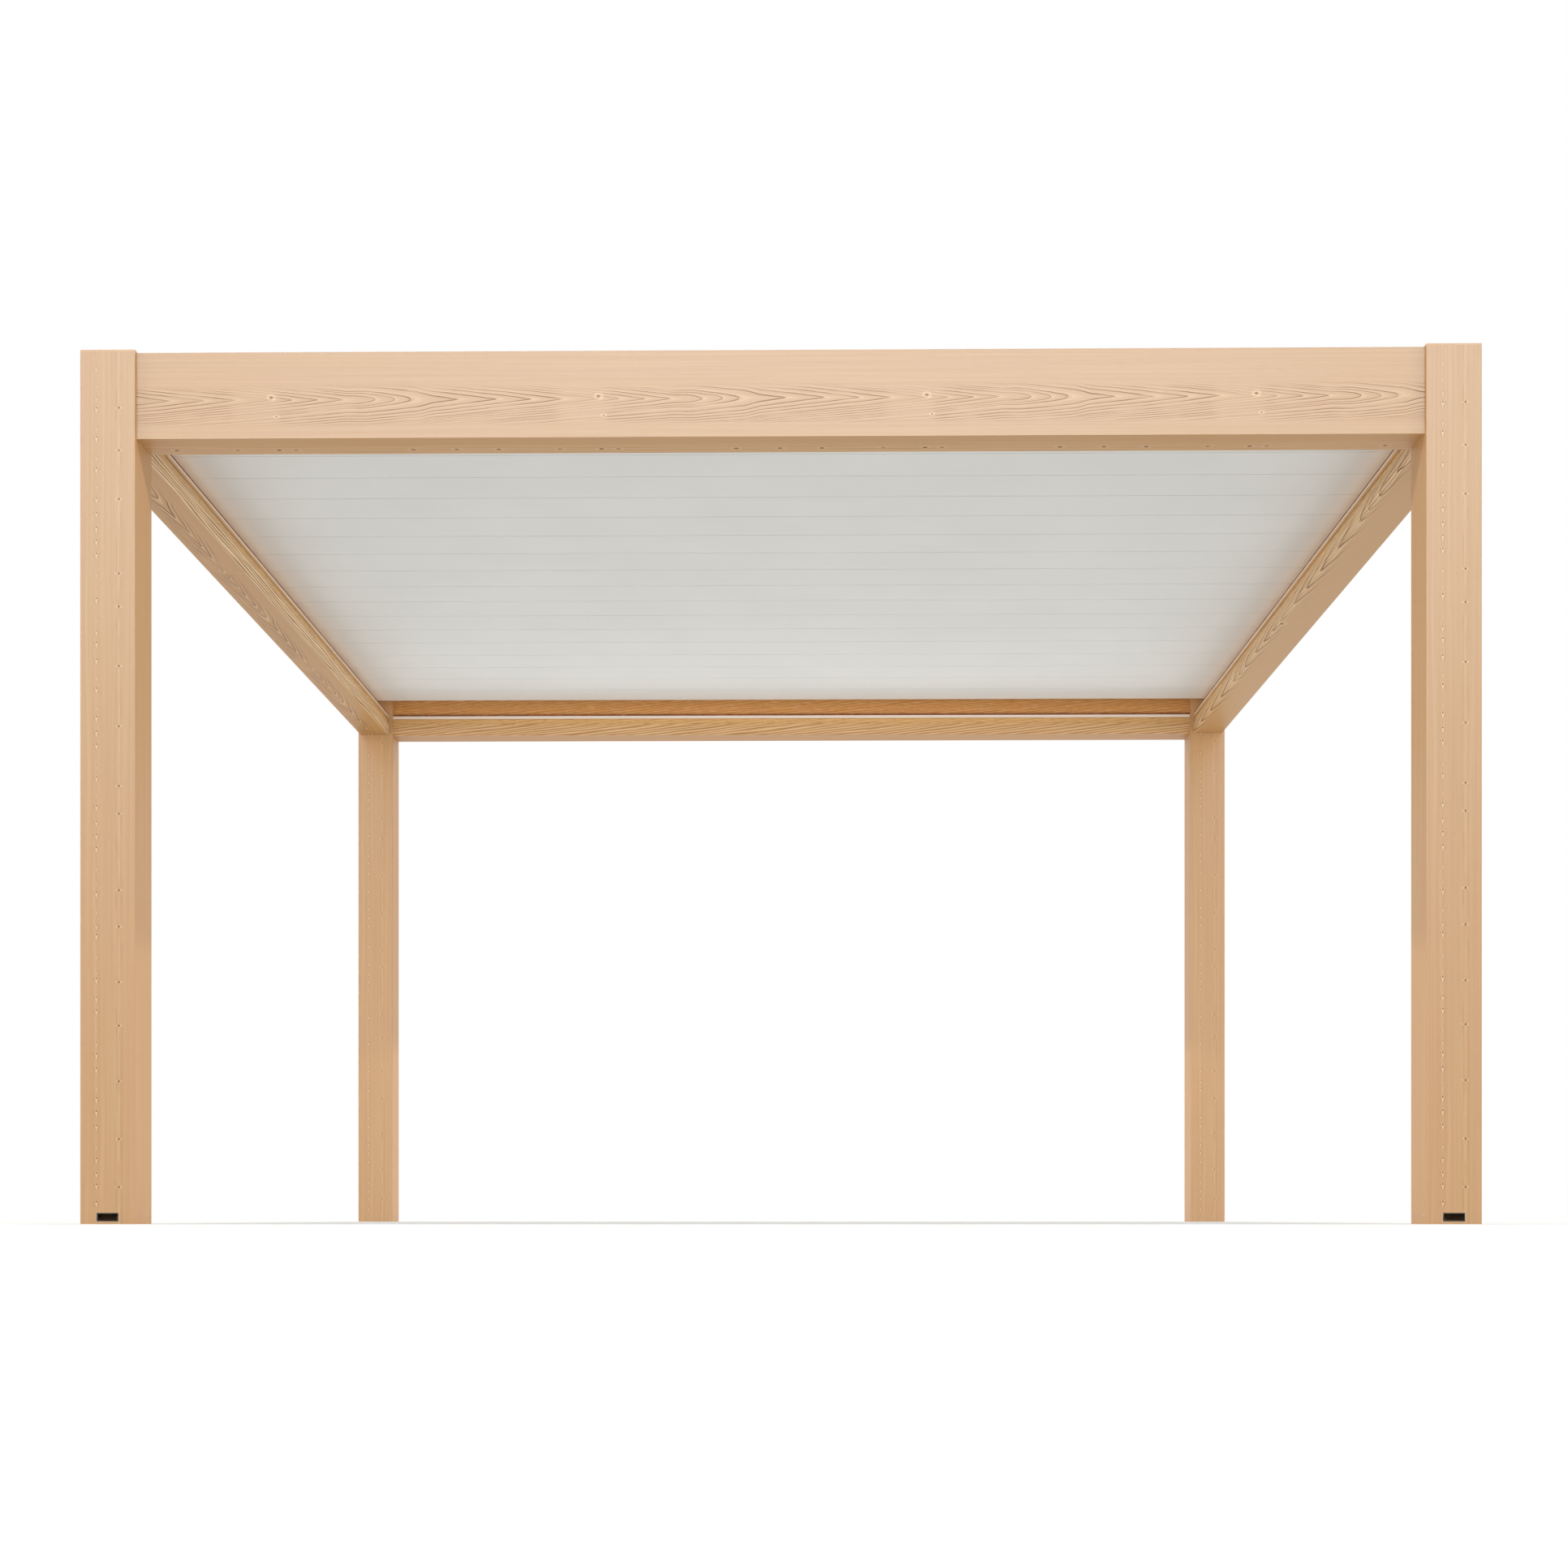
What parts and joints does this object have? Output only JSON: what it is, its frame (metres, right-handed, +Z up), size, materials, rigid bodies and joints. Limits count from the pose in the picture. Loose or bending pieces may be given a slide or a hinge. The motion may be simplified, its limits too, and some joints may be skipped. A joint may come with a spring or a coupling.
{
  "type": "freestanding louvred roof veranda",
  "caption": "Square open veranda: four posts, four roof beams with gutters and a flat roof of white louvre blades that tilt together.",
  "frame": {"origin": "on the ground, in the middle between the four posts", "axes": "+Z up, +X to the right seen from the front, +Y towards the back; the drain outlets are on the front"},
  "size_m": [4, 4, 2.504],
  "materials": {
    "wood_grain_post": "wood-grain powder coat, satin, grain upright",
    "wood_grain_beam": "wood-grain powder coat, satin, grain lengthwise",
    "cap_metal": "powder coat, satin, matched to the grain",
    "white_metal": "white powder coat, satin",
    "bare_metal": "mill finish",
    "black_plastic": "matt black",
    "diffuser": "milky light diffuser",
    "black_rubber": "dull black"
  },
  "bodies": {
    "frame": {"post_front_left": "wood_grain_post", "post_front_right": "wood_grain_post", "post_back_left": "wood_grain_post", "post_back_right": "wood_grain_post", "post_caps": "cap_metal", "post_feet": "bare_metal", "drain_outlets": "black_plastic", "beam_left": "wood_grain_beam", "beam_right": "wood_grain_beam", "gutter_lips": "wood_grain_beam", "beam_front": "wood_grain_beam", "beam_back": "wood_grain_beam", "led_strips": "diffuser", "lip_seals": "black_rubber", "pivot_rail_left": "bare_metal", "pivot_rail_right": "bare_metal", "closing_strip_front": "white_metal", "closing_strip_back": "white_metal"},
    "louvre_blade_01": {"louvre_01": "white_metal", "louvre_ends_01": "white_metal"},
    "louvre_blade_02": {"louvre_02": "white_metal", "louvre_ends_02": "white_metal"},
    "louvre_blade_03": {"louvre_03": "white_metal", "louvre_ends_03": "white_metal"},
    "louvre_blade_04": {"louvre_04": "white_metal", "louvre_ends_04": "white_metal"},
    "louvre_blade_05": {"louvre_05": "white_metal", "louvre_ends_05": "white_metal"},
    "louvre_blade_06": {"louvre_06": "white_metal", "louvre_ends_06": "white_metal"},
    "louvre_blade_07": {"louvre_07": "white_metal", "louvre_ends_07": "white_metal"},
    "louvre_blade_08": {"louvre_08": "white_metal", "louvre_ends_08": "white_metal"},
    "louvre_blade_09": {"louvre_09": "white_metal", "louvre_ends_09": "white_metal"},
    "louvre_blade_10": {"louvre_10": "white_metal", "louvre_ends_10": "white_metal"},
    "louvre_blade_11": {"louvre_11": "white_metal", "louvre_ends_11": "white_metal"},
    "louvre_blade_12": {"louvre_12": "white_metal", "louvre_ends_12": "white_metal"},
    "louvre_blade_13": {"louvre_13": "white_metal", "louvre_ends_13": "white_metal"},
    "louvre_blade_14": {"louvre_14": "white_metal", "louvre_ends_14": "white_metal"},
    "louvre_blade_15": {"louvre_15": "white_metal", "louvre_ends_15": "white_metal"},
    "louvre_blade_16": {"louvre_16": "white_metal", "louvre_ends_16": "white_metal"},
    "louvre_blade_17": {"louvre_17": "white_metal", "louvre_ends_17": "white_metal"},
    "louvre_blade_18": {"louvre_18": "white_metal", "louvre_ends_18": "white_metal"}
  },
  "joints": [
    {"name": "louvre_01_tilt", "type": "hinge", "parent": "frame", "child": "louvre_blade_01", "pos_m": [0, -1.7509, 2.419], "axis": [1, 0, 0], "range_deg": [0, 90]},
    {"name": "louvre_02_tilt", "type": "hinge", "parent": "frame", "child": "louvre_blade_02", "pos_m": [0, -1.5494, 2.419], "axis": [1, 0, 0], "range_deg": [0, 90]},
    {"name": "louvre_03_tilt", "type": "hinge", "parent": "frame", "child": "louvre_blade_03", "pos_m": [0, -1.3479, 2.419], "axis": [1, 0, 0], "range_deg": [0, 90]},
    {"name": "louvre_04_tilt", "type": "hinge", "parent": "frame", "child": "louvre_blade_04", "pos_m": [0, -1.1464, 2.419], "axis": [1, 0, 0], "range_deg": [0, 90]},
    {"name": "louvre_05_tilt", "type": "hinge", "parent": "frame", "child": "louvre_blade_05", "pos_m": [0, -0.9449, 2.419], "axis": [1, 0, 0], "range_deg": [0, 90]},
    {"name": "louvre_06_tilt", "type": "hinge", "parent": "frame", "child": "louvre_blade_06", "pos_m": [0, -0.7434, 2.419], "axis": [1, 0, 0], "range_deg": [0, 90]},
    {"name": "louvre_07_tilt", "type": "hinge", "parent": "frame", "child": "louvre_blade_07", "pos_m": [0, -0.5419, 2.419], "axis": [1, 0, 0], "range_deg": [0, 90]},
    {"name": "louvre_08_tilt", "type": "hinge", "parent": "frame", "child": "louvre_blade_08", "pos_m": [0, -0.3404, 2.419], "axis": [1, 0, 0], "range_deg": [0, 90]},
    {"name": "louvre_09_tilt", "type": "hinge", "parent": "frame", "child": "louvre_blade_09", "pos_m": [0, -0.1389, 2.419], "axis": [1, 0, 0], "range_deg": [0, 90]},
    {"name": "louvre_10_tilt", "type": "hinge", "parent": "frame", "child": "louvre_blade_10", "pos_m": [0, 0.0626, 2.419], "axis": [1, 0, 0], "range_deg": [0, 90]},
    {"name": "louvre_11_tilt", "type": "hinge", "parent": "frame", "child": "louvre_blade_11", "pos_m": [0, 0.2641, 2.419], "axis": [1, 0, 0], "range_deg": [0, 90]},
    {"name": "louvre_12_tilt", "type": "hinge", "parent": "frame", "child": "louvre_blade_12", "pos_m": [0, 0.4656, 2.419], "axis": [1, 0, 0], "range_deg": [0, 90]},
    {"name": "louvre_13_tilt", "type": "hinge", "parent": "frame", "child": "louvre_blade_13", "pos_m": [0, 0.6671, 2.419], "axis": [1, 0, 0], "range_deg": [0, 90]},
    {"name": "louvre_14_tilt", "type": "hinge", "parent": "frame", "child": "louvre_blade_14", "pos_m": [0, 0.8686, 2.419], "axis": [1, 0, 0], "range_deg": [0, 90]},
    {"name": "louvre_15_tilt", "type": "hinge", "parent": "frame", "child": "louvre_blade_15", "pos_m": [0, 1.0701, 2.419], "axis": [1, 0, 0], "range_deg": [0, 90]},
    {"name": "louvre_16_tilt", "type": "hinge", "parent": "frame", "child": "louvre_blade_16", "pos_m": [0, 1.2716, 2.419], "axis": [1, 0, 0], "range_deg": [0, 90]},
    {"name": "louvre_17_tilt", "type": "hinge", "parent": "frame", "child": "louvre_blade_17", "pos_m": [0, 1.4731, 2.419], "axis": [1, 0, 0], "range_deg": [0, 90]},
    {"name": "louvre_18_tilt", "type": "hinge", "parent": "frame", "child": "louvre_blade_18", "pos_m": [0, 1.6746, 2.419], "axis": [1, 0, 0], "range_deg": [0, 90]}
  ],
  "couplings": [
    {"joint": "louvre_02_tilt", "follows": "louvre_01_tilt", "ratio": 1},
    {"joint": "louvre_03_tilt", "follows": "louvre_01_tilt", "ratio": 1},
    {"joint": "louvre_04_tilt", "follows": "louvre_01_tilt", "ratio": 1},
    {"joint": "louvre_05_tilt", "follows": "louvre_01_tilt", "ratio": 1},
    {"joint": "louvre_06_tilt", "follows": "louvre_01_tilt", "ratio": 1},
    {"joint": "louvre_07_tilt", "follows": "louvre_01_tilt", "ratio": 1},
    {"joint": "louvre_08_tilt", "follows": "louvre_01_tilt", "ratio": 1},
    {"joint": "louvre_09_tilt", "follows": "louvre_01_tilt", "ratio": 1},
    {"joint": "louvre_10_tilt", "follows": "louvre_01_tilt", "ratio": 1},
    {"joint": "louvre_11_tilt", "follows": "louvre_01_tilt", "ratio": 1},
    {"joint": "louvre_12_tilt", "follows": "louvre_01_tilt", "ratio": 1},
    {"joint": "louvre_13_tilt", "follows": "louvre_01_tilt", "ratio": 1},
    {"joint": "louvre_14_tilt", "follows": "louvre_01_tilt", "ratio": 1},
    {"joint": "louvre_15_tilt", "follows": "louvre_01_tilt", "ratio": 1},
    {"joint": "louvre_16_tilt", "follows": "louvre_01_tilt", "ratio": 1},
    {"joint": "louvre_17_tilt", "follows": "louvre_01_tilt", "ratio": 1},
    {"joint": "louvre_18_tilt", "follows": "louvre_01_tilt", "ratio": 1}
  ]
}
